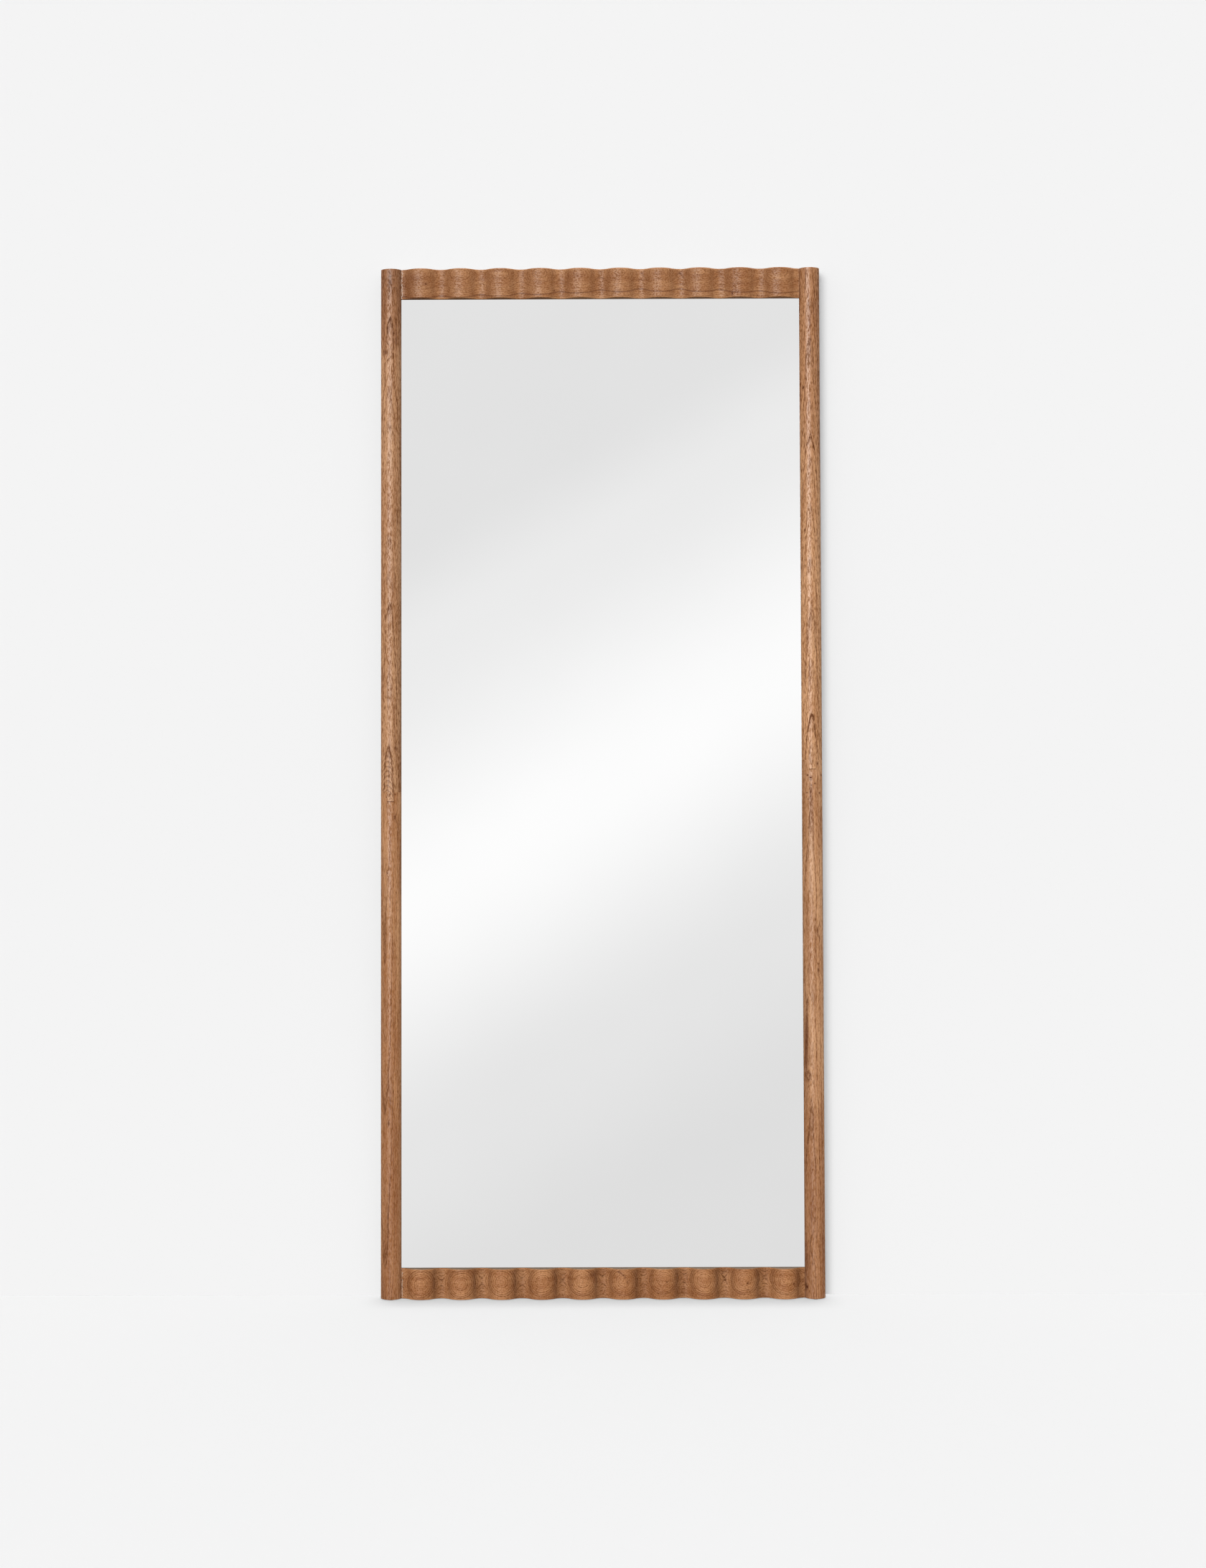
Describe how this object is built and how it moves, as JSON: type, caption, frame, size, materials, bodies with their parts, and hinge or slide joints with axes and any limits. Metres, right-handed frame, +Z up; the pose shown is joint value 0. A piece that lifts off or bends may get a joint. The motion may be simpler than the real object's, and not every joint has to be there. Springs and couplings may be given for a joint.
{
  "type": "floor mirror",
  "caption": "Tall floor mirror with half-round wooden stiles, rails carved in vertical waves, a glass set in a rear pocket, ring hangers, wall bumpers and floor pads.",
  "frame": {"origin": "on the floor under the middle of the mirror's width and of its whole depth, bumpers included", "axes": "+X to the viewer's right in front of the mirror, +Y from the glass towards the wall, +Z up"},
  "size_m": [0.762, 0.0419, 1.778],
  "materials": {
    "frame_wood": "oiled reddish-brown hardwood, satin",
    "dowel_wood": "plain pale hardwood",
    "mirror_glass": "polished float glass, silvered on its back",
    "silvered_film": "silvering with a grey protective film",
    "liner_card": "grey board",
    "backing_board": "raw fibreboard, matt",
    "glazing_tape": "matt foam tape",
    "rubber": "matt rubber",
    "plated_steel": "zinc-plated steel",
    "screw_steel": "yellow-zinc steel"
  },
  "bodies": {
    "frame": {"left_stile_upper": "frame_wood", "left_stile_lower": "frame_wood", "right_stile_upper": "frame_wood", "right_stile_lower": "frame_wood", "top_rail": "frame_wood", "bottom_rail": "frame_wood", "corner_dowels": "dowel_wood", "glazing_tape": "glazing_tape", "mirror_glass": "mirror_glass", "silvered_film": "silvered_film", "liner_card": "liner_card", "setting_blocks": "rubber", "edge_spacers": "rubber", "backing_panel": "backing_board", "panel_screws": "screw_steel", "corner_brace_bottom_left": "plated_steel", "corner_brace_top_left": "plated_steel", "corner_brace_bottom_right": "plated_steel", "corner_brace_top_right": "plated_steel", "brace_screws": "screw_steel", "hanger_strap_left": "plated_steel", "hanger_strap_right": "plated_steel", "hanger_screws": "screw_steel", "wall_bumpers": "rubber", "floor_pads": "rubber"},
    "left_ring": {"hanger_ring_left": "plated_steel"},
    "right_ring": {"hanger_ring_right": "plated_steel"}
  },
  "joints": [
    {"name": "left_ring_swing", "type": "hinge", "parent": "frame", "child": "left_ring", "pos_m": [-0.371, 0.01753, 1.428], "axis": [1, 0, 0], "range_deg": [0, 180]},
    {"name": "right_ring_swing", "type": "hinge", "parent": "frame", "child": "right_ring", "pos_m": [0.371, 0.01753, 1.428], "axis": [1, 0, 0], "range_deg": [0, 180]}
  ]
}
